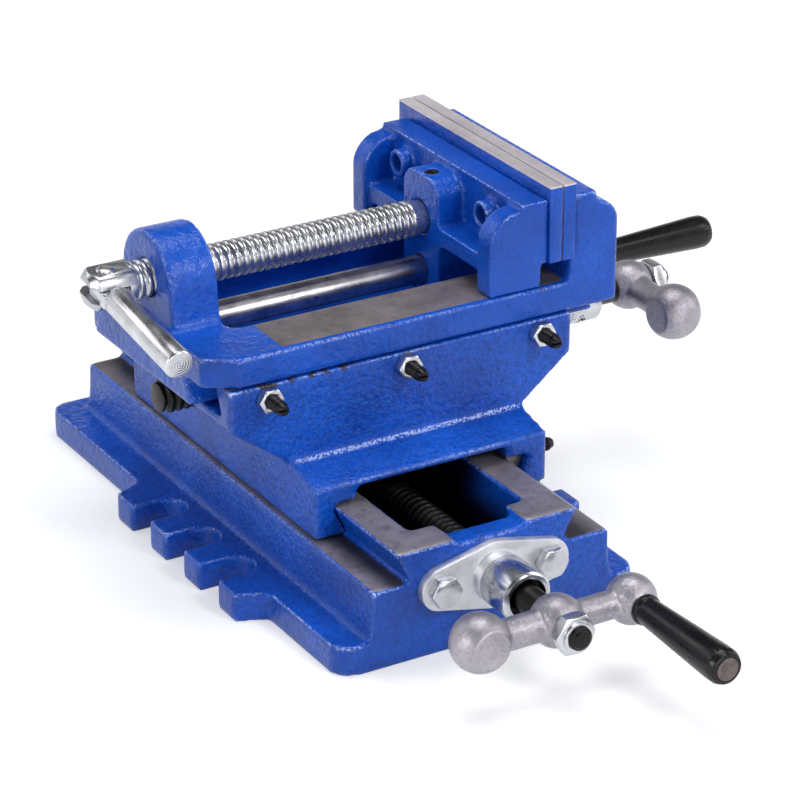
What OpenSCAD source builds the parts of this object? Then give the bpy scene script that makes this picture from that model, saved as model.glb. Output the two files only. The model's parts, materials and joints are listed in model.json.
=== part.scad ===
// Cross slide vise: a drill-press vise on two dovetail slides at right angles.
// X is the clamping direction, towards the fixed jaw. Y runs along the base, away from its crank.
// Z is up. The origin is on the table, under the middle of the saddle. Millimetres.

/* [Base] */
// Half width of the base flange
flange_hw = 57.8; // [52:0.2:64]
// Thickness of the base flange
flange_t = 10.4; // [8:0.2:14]
// Front end of the base, on the crank side
base_front = -107; // [-120:1:-98]
// Back end of the base flange
base_back = 110; // [100:1:125]
// Corner radius of the flange seen from above
flange_corner = 7; // [3:0.5:12]
// Half width of the way block at its top
way_hw = 45; // [42:0.5:49]
// Draft of each side of the way block
way_draft = 1.5; // [0:0.1:3]
// Height of the way block above the flange
way_h = 18.1; // [14:0.1:22]
// Length of flange left bare behind the ways
back_ledge = 9.5; // [5:0.5:15]
// Reach of the clamping lugs from the middle
lug_reach = 68.5; // [65:0.5:75]
// Width of each open clamping slot
slot_w = 13; // [9:0.5:15]
// Spacing of the clamping slots
slot_pitch = 25; // [22:0.5:30]
// Depth of each clamping slot from the edge of the lug
slot_depth = 17; // [13:0.5:20]
// Middle of the row of clamping slots along the base
slot_mid = -11.5; // [-20:0.5:5]
// Slant of the ends of the lugs
lug_slant = 5; // [2:0.5:8]

/* [Lower slide] */
// Sideways offset of the lower dovetail, which leaves room for the gib
lower_x = -2; // [-4:0.5:0]
// Half width of the lower dovetail at its foot
lower_tail_hw = 29.3; // [26:0.1:32]
// Height of the lower dovetail
lower_tail_h = 11.2; // [9:0.1:13]
// Flank angle of both dovetails, from the flat
tail_angle = 65; // [55:1:70]
// Half width of the trough between the rails
trough_hw = 21.6; // [18:0.2:23]
// Height of the trough floor above the table
trough_floor = 13; // [11:0.5:15]
// Thickness of the walls that close the trough at its ends
trough_wall = 10; // [9:0.5:11]
// Depth of the arms that the rails turn inwards at the front
arm_d = 14; // [12:0.5:18]
// Half width of the lowered middle of the front wall
notch_hw = 13.4; // [10:0.2:16]
// Depth of that lowered middle below the rails
notch_d = 1.8; // [1:0.1:3]
// Sideways place of the lower screw, midway between the arms
lower_screw_x = -0.6; // [-3:0.1:1]
// Height of the lower screw's axis above the table
lower_axis_z = 24.8; // [23:0.1:27]

/* [Saddle] */
// Half length of the saddle over the lower ways
saddle_hl = 67; // [60:0.5:75]
// Height from the ways of the base to those of the vise body
saddle_h = 52.7; // [49:0.1:58]
// Sideways offset of the saddle's lower part, which thickens the leg beside the gib
saddle_shift = 1.2; // [0:0.1:2]
// Height of the saddle's ledge above the ways, at its inner edge
ledge_h = 22.3; // [20:0.1:24]
// Fall of the ledge from its inner to its outer edge
ledge_fall = 3.6; // [1:0.1:4]
// Half width of the upper part of the saddle
saddle_top_hw = 66; // [60:0.5:72]
// Half depth of the upper part of the saddle, front to back
saddle_top_hd = 50.8; // [48:0.2:55]
// Height of the upright sides at the saddle's top
saddle_rim_h = 14.3; // [12:0.1:18]
// Half width of the channel above the lower screw
channel_hw = 29; // [26:0.5:31]
// Headroom of that channel above the lower dovetail
channel_h = 5.3; // [4.5:0.1:6]
// Thickness of the web between the two screws
web_t = 7.5; // [6.5:0.1:8]
// Half width of the channel for the upper screw
upper_channel_hw = 15; // [14:0.5:17]

/* [Upper slide] */
// Half width of the upper dovetail at its neck
upper_neck_hw = 31.5; // [29:0.1:34]
// Height of the upper dovetail
upper_tail_h = 9.2; // [8:0.1:10]
// Room between the upper dovetail and the floor of its way
upper_tail_room = 2; // [1:0.1:3]
// Height of the upper screw's axis above the web
upper_axis_h = 7.4; // [7:0.1:8]

/* [Gibs and their screws] */
// Width of both gibs, measured flat across the way
gib_w = 6.6; // [4:0.2:7]
// Length left bare at each end of a gib
gib_short = 4; // [2:0.5:8]
// Radius of a gib screw
gib_screw_r = 2.5; // [2:0.1:3]
// Length of a gib screw outside the casting
gib_screw_out = 11.5; // [8:0.5:15]
// Spacing of the upper gib screws
upper_gib_pitch = 52.5; // [40:0.5:56]
// Spacing of the lower gib screws
lower_gib_pitch = 52; // [40:0.5:56]
// Width across flats of a gib lock nut
gib_nut_af = 8; // [7:0.5:10]
// Thickness of a gib lock nut
gib_nut_t = 3.6; // [2.5:0.1:5]

/* [Vise body] */
// Left end of the vise body, on the handle side
body_left = -72.5; // [-80:0.5:-66]
// Right end of the vise body, on the crank side
body_right = 84.8; // [80:0.2:92]
// Half width of the jaw plates, and reach of the front rail
jaw_hw = 50; // [46:0.5:55]
// Reach of the jaw castings behind the clamp screw
jaw_rear = 44; // [42:0.5:50]
// Distance of the rear rail's edge from the clamp screw
rear_hw = 42; // [40:0.5:44]
// Thickness of the body's plate
body_t = 10.6; // [9:0.1:13]
// Half width of the slot between the rails
bed_slot_hw = 26; // [20:0.5:27]
// Depth of the slot below the rails
bed_slot_d = 15.3; // [14.5:0.1:16]
// Inset of the screw boss from the left end
boss_inset = 2.5; // [0:0.5:6]
// Thickness of the screw boss along the screw
boss_t = 18; // [14:0.5:24]
// Radius of the arched screw boss
boss_r = 18; // [15:0.5:22]
// Spread of each side of the boss at its foot
boss_spread = 1.6; // [0:0.1:3]
// Height of the clamp screw's axis above the rails
screw_h = 12.7; // [11:0.1:16]
// Drop of the boss's arch below the screw
boss_drop = 1.5; // [0:0.1:3]
// Depth of the guide rod's axis below the rails
rod_drop = 6.8; // [6:0.1:8]
// Radius of the guide rod
rod_r = 5; // [4:0.1:6]

/* [Jaws] */
// Height of the jaws' working tops above the rails
jaw_h = 35.9; // [30:0.1:42]
// Height of each jaw plate
jaw_plate_h = 27.4; // [22:0.1:32]
// Thickness of each jaw plate
jaw_plate_t = 4.8; // [4:0.1:7]
// Gap between the closed jaw plates
jaw_gap = 0.6; // [0.3:0.1:1]
// Thickness of the fixed jaw behind its plate
fixed_jaw_t = 17.7; // [14:0.1:22]
// Drop of the jaw castings below the tops of the plates
jaw_step = 4.7; // [2:0.1:6]
// Half distance between the screws of a jaw plate
plate_screw_y = 28; // [20:0.5:32]
// Middle of the jaw plates' screws
plate_screw_mid = -1.5; // [-3:0.5:0]
// Thickness of the movable jaw's upright wall
jaw_wall_t = 10.4; // [9:0.2:14]
// Depth of the movable jaw behind its plate
jaw_depth = 23; // [20:0.5:28]
// Thickness of the movable jaw's end cheeks
cheek_t = 9; // [6:0.2:12]
// Radius of the round shoulder of the cheeks
cheek_r = 11.5; // [8:0.5:13]
// Half width of the movable jaw's hub
hub_hw = 11.6; // [10:0.2:14]
// Depth of the hub behind the plate
hub_depth = 21; // [19:0.5:26]
// Thickness of the shelves between hub and cheeks
shelf_t = 6.5; // [4:0.1:9]
// Clear height under the shelves
shelf_h = 5.7; // [4:0.1:8]

/* [Clamp screw] */
// Radius of the clamp screw's thread
clamp_r = 6.5; // [5.5:0.1:8]
// Radius of the plain nose that turns in the jaw
nose_r = 5.9; // [5:0.1:6.2]
// Length of the nose inside the hub
nose_l = 15; // [13:0.5:17]
// Length of the plain neck in front of the hub
nose_bare = 5; // [3:0.5:9]
// Length of the forked end
fork_l = 16; // [14:0.5:20]
// Gap between the fork and the boss when the jaws are closed
fork_gap = 6; // [3:0.5:10]
// Radius of the forked end
fork_r = 7.5; // [6.5:0.1:9]
// Half height between the flats of the fork
fork_flat = 6.2; // [5.5:0.1:7]
// Half height of the slot in the fork
fork_slot = 2.6; // [2:0.1:3]
// Radius of the handle's pivot pin
pin_r = 2; // [1.5:0.1:2.5]
// Radius of the handle bar
handle_r = 5; // [4:0.1:6]
// Length of the handle from its pivot
handle_l = 54; // [45:1:80]
// Turn of the clamp screw at rest, in degrees
handle_droop = 8; // [0:1:20]

/* [Feed screws and cranks] */
// Radius of both feed screws
feed_r = 6; // [5:0.1:6.4]
// Length of the lower feed screw inside its bearing
lower_feed_l = 188; // [150:1:195]
// Length of the upper feed screw inside its bearing
upper_feed_l = 151.8; // [130:0.2:152]
// Thickness of a bearing plate
plate_t = 3.2; // [2.5:0.1:6]
// Height of the graduated boss on a bearing plate
plate_boss_h = 4; // [1:0.1:5]
// Radius of the middle of a bearing plate
plate_r = 12; // [11:0.2:15]
// Radius of the upper bearing plate below its screw
upper_plate_r = 10; // [9.5:0.1:12]
// Radius of the ends of a bearing plate
plate_end_r = 7.6; // [7:0.2:9]
// Half distance between the bolts of a bearing plate
plate_bolt_x = 20.4; // [18:0.2:24]
// Height of the upper plate's bolts above the screw
upper_bolt_h = 22; // [20:0.5:25]
// Radius of a plate bolt
plate_bolt_r = 3; // [2.5:0.1:3.5]
// Length of a plate bolt under its head
plate_bolt_l = 11.5; // [9:0.5:12]
// Width across flats of a plate bolt's head
plate_bolt_af = 10; // [8:0.5:11]
// Radius of a graduated dial
dial_r = 9.1; // [8:0.1:11]
// Length of a graduated dial
dial_l = 14.8; // [12:0.2:20]
// Radius of the journal that carries dial and crank
journal_r = 5; // [4.5:0.1:5.5]
// Distance of the crank's middle from the bearing face
crank_reach = 39; // [37:0.5:50]
// Length of a crank arm, from the axis to the middle of each ball
crank_arm = 28.5; // [24:0.5:40]
// Radius of the counterweight ball
big_ball_r = 10; // [8:0.1:12]
// Radius of the ball at the hub
hub_ball_r = 9; // [8:0.1:10]
// Radius of the ball that holds the grip
grip_ball_r = 8.6; // [8:0.1:10]
// Half thickness of a crank between the flats of its balls
crank_flat = 7.5; // [6:0.1:7.8]
// Radius of the stud that holds the crank
stud_r = 4; // [3:0.1:4.4]
// Width across flats of a crank nut
crank_nut_af = 13; // [10:0.5:14]
// Length of a grip
grip_l = 46; // [38:1:60]
// Largest radius of a grip
grip_r = 6.2; // [5.4:0.1:7]
// Smallest radius of a grip
grip_neck_r = 4.6; // [4.3:0.1:5.2]
// Radius of the spindle in a grip
spindle_r = 3; // [2:0.1:3.4]

/* [Fits] */
// Room between sliding flat ways
way_gap = 0.25; // [0.1:0.05:0.4]
// Radial room of a shaft that turns or slides in a hole
run_fit = 0.05; // [0.02:0.01:0.1]
// Radial room of a fastener or fixed pin in its hole
fixed_fit = 0.03; // [0.01:0.01:0.1]

/* [Hidden] */
$fn = 48;
eps = 1;
blue = "#1f4fc0";
steel = "#c9ccd0";
dark_steel = "#6a6a6c";
black = "#1d1c20";
cast_grey = "#a9a6ac";
brass = "#b99b52";

// Heights of the stack, from the table up
way_z = flange_t + way_h;
tail_z = way_z + lower_tail_h;
saddle_foot = way_z + way_gap;
ledge_z = way_z + ledge_h;
lip_z = ledge_z - ledge_fall;
channel_z = tail_z + channel_h;
web_z = channel_z + web_t;
upper_axis_z = web_z + upper_axis_h;
plate_z = way_z + saddle_h;
saddle_top = plate_z - way_gap;
rim_z = saddle_top - saddle_rim_h;
upper_tail_z = plate_z - upper_tail_h;
upper_floor_z = upper_tail_z - upper_tail_room;
rail_z = plate_z + body_t;
bed_z = rail_z - bed_slot_d;
screw_z = rail_z + screw_h;
rod_z = rail_z - rod_drop;
jaw_z = rail_z + jaw_h;
jaw_plate_z = jaw_z - jaw_plate_h;
plate_screw_z = jaw_z - jaw_plate_h / 2;
jaw_top_z = jaw_z - jaw_step;
foot_z = rail_z + way_gap;

// Dovetail flanks: run of a flank for each millimetre of height
tail_slope = 1 / tan(tail_angle);
side_gap = way_gap / sin(tail_angle);

// Sides of the saddle's lower part
saddle_left = saddle_shift - way_hw;
saddle_right = saddle_shift + way_hw;

// Ends along the base
way_back = base_back - back_ledge;
trough_front = base_front + arm_d;
trough_back = way_back - trough_wall;

// Positions along the vise body
boss_x = body_left + boss_inset;
boss_end = boss_x + boss_t;
fixed_seat = body_right - fixed_jaw_t;
fixed_face = fixed_seat - jaw_plate_t;
moving_face = fixed_face - jaw_gap;
moving_seat = moving_face - jaw_plate_t;
jaw_ledge = 1.6;
jaw_recess = 1;
jaw_undercut = 2.6;
fixed_shoulder_t = 8.8;
fixed_shoulder_drop = 4;
cheek_drop = 2.2;
hub_drop = 2.5;
bed_slot_r = 5;
hub_x = moving_seat - hub_depth;
jaw_back_x = moving_seat - jaw_depth;
wall_x = moving_seat - jaw_wall_t;
fork_end = boss_x - fork_gap;
fork_tip = fork_end - fork_l;
handle_pivot = fork_tip + fork_r - 0.5;
rod_seat = 6;

// Fixed sizes of small hardware
nut_screw_r = 2.5;
nut_screw_head_r = 4.2;
nut_screw_head_h = 3;
nut_screw_l = 13;
nut_screw_off = 10;
nut_half_l = 13;
nut_wall = 7;
plate_screw_r = 3;
plate_screw_head_r = 5.6;
plate_screw_head_h = 2.8;
fixed_plate_screw_l = 16;
moving_plate_screw_l = 15;
retainer_r = 2.4;
retainer_tip_r = 1.8;
retainer_sink = 0.4;
retainer_socket_af = 2.5;
retainer_socket_h = 2.5;
groove_w = 4.4;
groove_r = nose_r - 1.6;
collar_r = 8.4;
collar_t = 4.6;
collar_room = 0.4;
bore_room = 0.5;
dial_gap = 0.2;
dial_recess = 3;
grub_r = 1.5;
grub_sink = 0.4;
grub_socket_af = 1.5;
grub_socket_h = 1.6;
lower_grub_turn = -90;
upper_grub_turn = -135;
bolt_head_h = 3.6;
stud_out = 2.2;
crank_nut_t = 6;
spindle_head_r = 4;
spindle_head_h = 2.4;
spindle_seat = 12;
handle_tongue = 10;
handle_chamfer = 0.5;
fork_chamfer = 2.4;

channel_x = lower_x + (gib_w + side_gap) / 2;
upper_nut_x = 22;
retainer_x = hub_x + 4.6;
upper_gib_z = (upper_tail_z + saddle_top) / 2;
lower_gib_z = (saddle_foot + tail_z) / 2;
crank_face = crank_reach + crank_flat;
dial_start = plate_t + plate_boss_h + dial_gap;
dial_end = dial_start + dial_l;
grip_start = crank_face + 0.3;
grip_end = grip_start + grip_l;

// A flat outline in X and Z, run along Y
module along_y(from, to) {
    translate([0, to, 0])
        rotate([90, 0, 0])
            linear_extrude(to - from)
                children();
}

// A flat outline in Y and Z, run along X
module along_x(from, to) {
    translate([from, 0, 0])
        rotate([90, 0, 90])
            linear_extrude(to - from)
                children();
}

// A round bar or bore along X or Y
module rod_x(from, to, y, z, r) {
    translate([from, y, z])
        rotate([0, 90, 0])
            cylinder(h = to - from, r = r);
}

module rod_y(from, to, x, z, r) {
    translate([x, to, z])
        rotate([90, 0, 0])
            cylinder(h = to - from, r = r);
}

// A rectangle with round corners
module round_rect(x0, x1, y0, y1, r) {
    translate([x0 + r, y0])
        square([x1 - x0 - 2 * r, y1 - y0]);
    translate([x0, y0 + r])
        square([x1 - x0, y1 - y0 - 2 * r]);
    for (x = [x0 + r, x1 - r])
        for (y = [y0 + r, y1 - r])
            translate([x, y])
                circle(r);
}

// A hexagon of a given width across flats
module hex(af) {
    circle(r = af / sqrt(3), $fn = 6);
}

// The outer tangent of two circles, each given as [x, y, r]
function tangent(p, q) =
    let (run = [q[0] - p[0], q[1] - p[1]])
    let (turn = atan2(run[1], run[0]) - 90 + asin((p[2] - q[2]) / norm(run)))
    [
        [p[0] + p[2] * cos(turn), p[1] + p[2] * sin(turn)],
        [q[0] + q[2] * cos(turn), q[1] + q[2] * sin(turn)]
    ];

// The outline that a belt takes round a ring of circles
module belt(ring) {
    last = len(ring) - 1;
    polygon([
        for (i = [0:last])
            for (p = tangent(ring[i], ring[i == last ? 0 : i + 1]))
                p
    ]);
    for (c = ring)
        translate([c[0], c[1]])
            circle(c[2]);
}

// Places of the two feed screws: the axis leaves the bearing face along the local Z
module at_lower() {
    translate([lower_screw_x, base_front, lower_axis_z])
        rotate([90, 0, 0])
            children();
}

module at_upper() {
    translate([body_right, 0, upper_axis_z])
        rotate([90, 0, 90])
            children();
}

// Cross-sections of the slides
module lower_tail(extra) {
    foot = lower_tail_hw + extra;
    top = foot + lower_tail_h * tail_slope;
    polygon([
        [lower_x - foot, way_z],
        [lower_x + foot, way_z],
        [lower_x + top, tail_z],
        [lower_x - top, tail_z]
    ]);
}

module lower_way() {
    room = 0.9;
    low = way_z - eps;
    high = tail_z + room;
    foot = lower_tail_hw + side_gap;
    left_low = lower_x - foot + eps * tail_slope;
    right_low = lower_x + foot + gib_w + side_gap - eps * tail_slope;
    rise = (high - low) * tail_slope;
    polygon([
        [left_low, low],
        [right_low, low],
        [right_low + rise, high],
        [left_low - rise, high]
    ]);
}

module upper_tail() {
    foot = upper_neck_hw + upper_tail_h * tail_slope;
    polygon([
        [-upper_neck_hw, plate_z + eps],
        [upper_neck_hw, plate_z + eps],
        [upper_neck_hw, plate_z],
        [foot, upper_tail_z],
        [-foot, upper_tail_z],
        [-upper_neck_hw, plate_z]
    ]);
}

module upper_way() {
    high = plate_z + eps;
    drop = (high - upper_floor_z) * tail_slope;
    back_high = upper_neck_hw + side_gap - eps * tail_slope;
    front_high = -back_high - gib_w - side_gap;
    polygon([
        [front_high, high],
        [back_high, high],
        [back_high + drop, upper_floor_z],
        [front_high - drop, upper_floor_z]
    ]);
}

// Outer flank of each gib at a given height
function lower_flank(z) = lower_x + lower_tail_hw + side_gap + gib_w + (z - way_z) * tail_slope;
function upper_flank(z) = -(upper_neck_hw + side_gap + gib_w + (plate_z - z) * tail_slope);

function plate_screw_at(side) = plate_screw_mid + side * plate_screw_y;
function upper_gib_x(i) = 0.5 + (i - 1) * upper_gib_pitch;
function lower_gib_y(i) = (i - 1) * lower_gib_pitch;

// Base casting: flange with open clamping slots, ways, dovetail rails and screw trough
module lugs() {
    half = slot_pitch * 2 - slot_w / 2;
    for (side = [0, 1])
        mirror([side, 0, 0])
            linear_extrude(flange_t)
                polygon([
                    [way_hw, slot_mid - half - lug_slant],
                    [flange_hw, slot_mid - half - lug_slant],
                    [lug_reach, slot_mid - half],
                    [lug_reach, slot_mid + half],
                    [flange_hw, slot_mid + half + lug_slant],
                    [way_hw, slot_mid + half + lug_slant]
                ]);
}

module clamp_slots() {
    inner = lug_reach - slot_depth + slot_w / 2;
    for (side = [0, 1])
        mirror([side, 0, 0])
            for (i = [-1, 0, 1])
                translate([inner, slot_mid + i * slot_pitch, -eps]) {
                    cylinder(h = flange_t + 2 * eps, r = slot_w / 2);
                    translate([0, -slot_w / 2, 0])
                        cube([slot_depth, slot_w, flange_t + 2 * eps]);
                }
}

module base() {
    color(blue)
        difference() {
            union() {
                linear_extrude(flange_t)
                    round_rect(-flange_hw, flange_hw, base_front, base_back, flange_corner);
                lugs();
                along_y(base_front, way_back)
                    polygon([
                        [-way_hw - way_draft, flange_t - eps],
                        [way_hw + way_draft, flange_t - eps],
                        [way_hw, way_z],
                        [-way_hw, way_z]
                    ]);
                along_y(base_front, way_back)
                    lower_tail(0);
            }
            clamp_slots();
            translate([lower_x - trough_hw, trough_front, trough_floor])
                cube([2 * trough_hw, trough_back - trough_front, tail_z]);
            translate([lower_screw_x - notch_hw, base_front + trough_wall, trough_floor])
                cube([2 * notch_hw, arm_d, tail_z]);
            translate([lower_screw_x - notch_hw, base_front - eps, tail_z - notch_d])
                cube([2 * notch_hw, arm_d, tail_z]);
            rod_y(base_front - eps, trough_front + eps, lower_screw_x, lower_axis_z, feed_r + bore_room);
            rod_y(base_front - eps, base_front + collar_t + 2 * collar_room,
                lower_screw_x, lower_axis_z, collar_r + bore_room);
            at_lower()
                plate_bolt_holes(0, plate_bolt_r + fixed_fit);
        }
}

// Saddle casting: joins the two slides at right angles
module saddle() {
    color(blue)
        difference() {
            union() {
                along_x(saddle_left, saddle_right)
                    polygon([
                        [-saddle_hl, saddle_foot],
                        [saddle_hl, saddle_foot],
                        [saddle_hl, lip_z],
                        [saddle_top_hd, ledge_z],
                        [-saddle_top_hd, ledge_z],
                        [-saddle_hl, lip_z]
                    ]);
                along_y(-saddle_top_hd, saddle_top_hd)
                    polygon([
                        [saddle_left, ledge_z - eps],
                        [saddle_right, ledge_z - eps],
                        [saddle_right, ledge_z],
                        [saddle_top_hw, rim_z],
                        [saddle_top_hw, saddle_top],
                        [-saddle_top_hw, saddle_top],
                        [-saddle_top_hw, rim_z],
                        [saddle_left, ledge_z]
                    ]);
            }
            along_y(-saddle_hl - eps, saddle_hl + eps)
                lower_way();
            translate([channel_x - channel_hw, -saddle_hl - eps, way_z])
                cube([2 * channel_hw, 2 * saddle_hl + 2 * eps, channel_z - way_z]);
            along_x(-saddle_top_hw - eps, saddle_top_hw + eps)
                upper_way();
            translate([-saddle_top_hw - eps, -upper_channel_hw, web_z])
                cube([2 * saddle_top_hw + 2 * eps, 2 * upper_channel_hw, upper_floor_z - web_z + eps]);
            for (i = [0:2]) {
                rod_y(-saddle_top_hd - eps, upper_flank(upper_gib_z) + eps * 3,
                    upper_gib_x(i), upper_gib_z, gib_screw_r + fixed_fit);
                rod_x(lower_flank(lower_gib_z) - eps * 3, saddle_right + eps,
                    lower_gib_y(i), lower_gib_z, gib_screw_r + fixed_fit);
            }
            for (side = [-1, 1]) {
                translate([lower_screw_x, side * nut_screw_off, channel_z - eps])
                    cylinder(h = web_t + 2 * eps, r = nut_screw_r + fixed_fit);
                translate([lower_screw_x, side * nut_screw_off, web_z - nut_screw_head_h])
                    cylinder(h = nut_screw_head_h + eps, r = nut_screw_head_r + fixed_fit);
                translate([upper_nut_x, side * nut_screw_off, channel_z - eps])
                    cylinder(h = web_t + 2 * eps, r = nut_screw_r + fixed_fit);
                translate([upper_nut_x, side * nut_screw_off, channel_z - eps])
                    cylinder(h = nut_screw_head_h + eps, r = nut_screw_head_r + fixed_fit);
            }
        }
}

// Gibs: slanted bars that take up the wear of the dovetails
module lower_gib() {
    low = saddle_foot + way_gap;
    high = tail_z;
    color(dark_steel)
        along_y(-saddle_hl + gib_short, saddle_hl - gib_short)
            polygon([
                [lower_flank(low) - gib_w, low],
                [lower_flank(low), low],
                [lower_flank(high), high],
                [lower_flank(high) - gib_w, high]
            ]);
}

module upper_gib() {
    low = upper_floor_z + way_gap;
    high = plate_z - 2 * way_gap;
    color(dark_steel)
        along_x(-saddle_top_hw + gib_short, saddle_top_hw - gib_short)
            polygon([
                [upper_flank(low) + gib_w, low],
                [upper_flank(low), low],
                [upper_flank(high), high],
                [upper_flank(high) + gib_w, high]
            ]);
}

// A hexagon prism with chamfered corners, as on nuts and bolt heads
module hex_block(af, height, both) {
    flat_r = 0.48 * af;
    corner_r = af / sqrt(3) + 0.01;
    cut = (corner_r - flat_r) * tan(30);
    intersection() {
        linear_extrude(height)
            hex(af);
        rotate_extrude()
            polygon([
                [0, 0],
                [both ? flat_r : corner_r, 0],
                [corner_r, both ? cut : 0.01],
                [corner_r, height - cut],
                [flat_r, height],
                [0, height]
            ]);
    }
}

// The hex socket of a headless screw whose end is at the height top
module socket(top, af, depth) {
    translate([0, 0, top - depth])
        linear_extrude(depth + eps)
            hex(af);
}

// A gib screw along local Z, from its dog point inside to its slotted outer end
module gib_screw(inside) {
    dog_r = 1.5;
    dog = dog_r * tail_slope + 0.02;
    taper = 2.2;
    tip_r = 1.7;
    slot_hw = 0.45;
    slot_deep = 1.5;
    shank = inside - dog - 2;
    color(black)
        difference() {
            rotate_extrude()
                polygon([
                    [0, -inside + dog],
                    [dog_r, -inside + dog],
                    [dog_r, -shank],
                    [gib_screw_r, -shank + 1],
                    [gib_screw_r, gib_screw_out - taper],
                    [tip_r, gib_screw_out],
                    [0, gib_screw_out]
                ]);
            translate([-gib_screw_r, -slot_hw, gib_screw_out - slot_deep])
                cube([2 * gib_screw_r, 2 * slot_hw, slot_deep + eps]);
        }
}

module gib_nut() {
    color(steel)
        difference() {
            hex_block(gib_nut_af, gib_nut_t, true);
            translate([0, 0, -eps])
                cylinder(h = gib_nut_t + 2 * eps, r = gib_screw_r + fixed_fit);
        }
}

module at_upper_gib(i) {
    translate([upper_gib_x(i), -saddle_top_hd, upper_gib_z])
        rotate([90, 0, 0])
            children();
}

module at_lower_gib(i) {
    translate([saddle_right, lower_gib_y(i), lower_gib_z])
        rotate([0, 90, 0])
            children();
}

module upper_gib_screws() {
    for (i = [0:2])
        at_upper_gib(i)
            gib_screw(saddle_top_hd + upper_flank(upper_gib_z));
}

module upper_gib_nuts() {
    for (i = [0:2])
        at_upper_gib(i)
            gib_nut();
}

module lower_gib_screws() {
    for (i = [0:2])
        at_lower_gib(i)
            gib_screw(saddle_right - lower_flank(lower_gib_z));
}

module lower_gib_nuts() {
    for (i = [0:2])
        at_lower_gib(i)
            gib_nut();
}

// Feed nuts: bolted to the saddle, one for each screw
module lower_feed_nut() {
    low = lower_axis_z - feed_r - 2.5;
    half = nut_screw_off + 4;
    color(brass)
        difference() {
            translate([lower_screw_x - feed_r - nut_wall, -half, low])
                cube([2 * (feed_r + nut_wall), 2 * half, channel_z - low]);
            rod_y(-half - eps, half + eps, lower_screw_x, lower_axis_z, feed_r + run_fit);
            for (side = [-1, 1])
                translate([lower_screw_x, side * nut_screw_off, web_z - nut_screw_l])
                    cylinder(h = nut_screw_l, r = nut_screw_r + fixed_fit);
        }
}

module upper_feed_nut() {
    half = upper_channel_hw - way_gap;
    color(brass)
        difference() {
            translate([upper_nut_x - nut_half_l, -half, web_z])
                cube([2 * nut_half_l, 2 * half, upper_floor_z - web_z]);
            rod_x(upper_nut_x - nut_half_l - eps, upper_nut_x + nut_half_l + eps,
                0, upper_axis_z, feed_r + run_fit);
            for (side = [-1, 1])
                translate([upper_nut_x, side * nut_screw_off, web_z - eps])
                    cylinder(h = nut_screw_l - web_t + eps, r = nut_screw_r + fixed_fit);
        }
}

// A cap screw with its head at the local origin, shank along local Z
module nut_screw() {
    socket_r = 2;
    color(black)
        difference() {
            union() {
                cylinder(h = nut_screw_head_h, r = nut_screw_head_r);
                cylinder(h = nut_screw_l, r = nut_screw_r);
            }
            translate([0, 0, -eps])
                cylinder(h = eps + 1.6, r = socket_r, $fn = 6);
        }
}

module lower_nut_screws() {
    for (side = [-1, 1])
        translate([lower_screw_x, side * nut_screw_off, web_z])
            rotate([180, 0, 0])
                nut_screw();
}

module upper_nut_screws() {
    for (side = [-1, 1])
        translate([upper_nut_x, side * nut_screw_off, channel_z])
            nut_screw();
}

// Vise body: plate with rails, upper dovetail, screw boss and fixed jaw in one casting
module body_outline() {
    corner_x = 11;
    corner_y = 7;
    rear_r = 14;
    polygon([
        [body_left, -jaw_hw + corner_y],
        [body_left + corner_x, -jaw_hw],
        [body_right, -jaw_hw],
        [body_right, jaw_rear],
        [fixed_seat, jaw_rear],
        [fixed_seat, rear_hw],
        [body_left + rear_r, rear_hw],
        [body_left, rear_hw - rear_r]
    ]);
    translate([body_left + rear_r, rear_hw - rear_r])
        circle(rear_r);
}

module boss_outline() {
    arch_z = screw_z - boss_drop;
    foot = boss_r + boss_spread;
    translate([0, arch_z])
        circle(boss_r);
    polygon([
        [-foot, rail_z - eps],
        [foot, rail_z - eps],
        [boss_r, arch_z],
        [-boss_r, arch_z]
    ]);
}

module fixed_jaw_outline() {
    top_r = 0.48 * fixed_jaw_t;
    shoulder_z = jaw_top_z - fixed_shoulder_drop;
    translate([fixed_seat, plate_z])
        square([fixed_jaw_t, shoulder_z - top_r - plate_z]);
    translate([fixed_seat, plate_z])
        square([fixed_jaw_t - top_r, shoulder_z - plate_z]);
    translate([body_right - top_r, shoulder_z - top_r])
        circle(top_r);
    translate([fixed_seat, plate_z])
        square([fixed_shoulder_t, jaw_top_z - plate_z]);
    translate([fixed_seat - jaw_ledge, plate_z])
        square([jaw_ledge + eps, jaw_plate_z - plate_z]);
}

module vise_body() {
    color(blue)
        difference() {
            union() {
                translate([0, 0, plate_z])
                    linear_extrude(body_t)
                        body_outline();
                along_x(body_left, body_right)
                    upper_tail();
                along_x(boss_x, boss_end)
                    boss_outline();
                along_y(-jaw_hw, jaw_rear)
                    fixed_jaw_outline();
            }
            translate([0, 0, bed_z])
                linear_extrude(bed_slot_d + eps)
                    round_rect(boss_end, fixed_seat - jaw_ledge, -bed_slot_hw, bed_slot_hw, bed_slot_r);
            rod_x(boss_x - eps, boss_end + eps, 0, screw_z, clamp_r + run_fit);
            rod_x(boss_end - rod_seat * 2, fixed_seat + rod_seat * 2, 0, rod_z, rod_r + fixed_fit);
            for (side = [-1, 1])
                rod_x(fixed_seat - eps, fixed_seat - jaw_plate_t + fixed_plate_screw_l + 1,
                    plate_screw_at(side), plate_screw_z, plate_screw_r + fixed_fit);
            at_upper()
                plate_bolt_holes(upper_bolt_h, plate_bolt_r + fixed_fit);
        }
}

module guide_rod() {
    color(dark_steel)
        rod_x(boss_end - rod_seat * 2, fixed_seat + rod_seat * 2, 0, rod_z, rod_r);
}

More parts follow.
